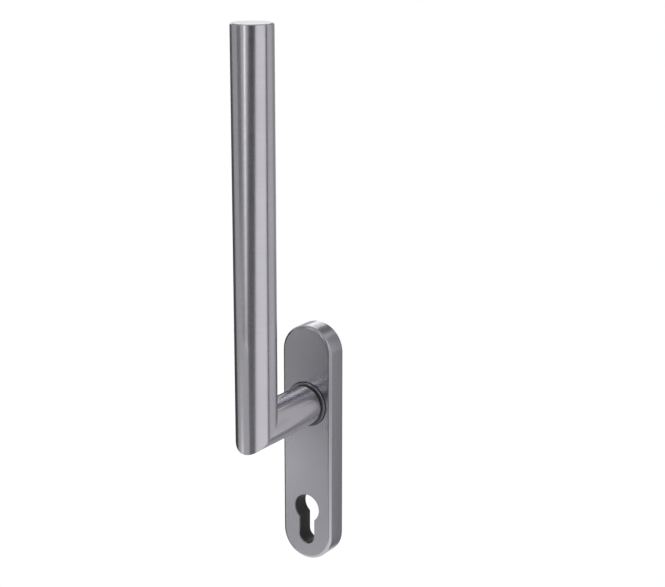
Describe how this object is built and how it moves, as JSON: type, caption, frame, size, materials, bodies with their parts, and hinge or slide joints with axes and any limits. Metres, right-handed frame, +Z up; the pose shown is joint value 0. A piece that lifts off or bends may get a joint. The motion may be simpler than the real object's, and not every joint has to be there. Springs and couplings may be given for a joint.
{
  "type": "lift and slide door handle",
  "caption": "Round tube lever on a round-ended backplate with a key-cylinder cut-out; turning it half round raises or lowers a lift and slide door.",
  "frame": {"origin": "the lever's turning axis at the face of the door, midway between the two fixing screws", "axes": "+Z up along the backplate and the upright grip, +X to the right as seen from the room, +Y into the door; the handle stands out along -Y"},
  "size_m": [0.035, 0.098, 0.3405],
  "materials": {
    "plate_stainless": "satin, grain along the plate",
    "lever_stainless": "satin, fine grain",
    "cap_stainless": "satin",
    "collar_stainless": "turned, satin",
    "turned_steel": "turned, bright",
    "zinc_plated_steel": "zinc plated, slightly blue",
    "cast_zinc": "as cast, dull",
    "spring_steel": "blackened spring steel",
    "bearing_plastic": "smooth, slightly waxy, turned",
    "polished_ball": "polished",
    "moulded_base": "fine moulded texture",
    "screw_steel": "bright zinc plated",
    "brass_sleeve": "turned"
  },
  "bodies": {
    "base": {"base_plate": "moulded_base", "neck_collar": "collar_stainless", "front_bush": "bearing_plastic", "rear_bush": "bearing_plastic", "wave_washer": "spring_steel", "rear_retainer_plate": "zinc_plated_steel", "retainer_screw_1": "screw_steel", "retainer_screw_2": "screw_steel", "retainer_screw_3": "screw_steel", "retainer_screw_4": "screw_steel", "fixing_screw_upper": "screw_steel", "fixing_screw_lower": "screw_steel", "screw_sleeve_upper": "brass_sleeve", "screw_sleeve_lower": "brass_sleeve", "detent_spring": "spring_steel"},
    "lever": {"lever_tube": "lever_stainless", "grip_end_cap": "cap_stainless", "neck_hub": "turned_steel", "square_spindle": "zinc_plated_steel", "stop_disc": "cast_zinc", "retaining_ring": "spring_steel"},
    "cover": {"cover_plate": "plate_stainless"},
    "detent": {"detent_ball": "polished_ball"}
  },
  "joints": [
    {"name": "lever_turn", "type": "hinge", "parent": "base", "child": "lever", "pos_m": [0, 0, 0], "axis": [0, -1, 0], "range_deg": [0, 180]},
    {"name": "cover_slide", "type": "slide", "parent": "base", "child": "cover", "axis": [0, -1, 0], "range_m": [0, 0.038]},
    {"name": "detent_travel", "type": "slide", "parent": "base", "child": "detent", "axis": [0, 0, -1], "range_m": [0, 0.0008], "stiffness_N_per_m": 1000, "springref_m": 0.005, "deforming": ["detent_spring"]}
  ]
}
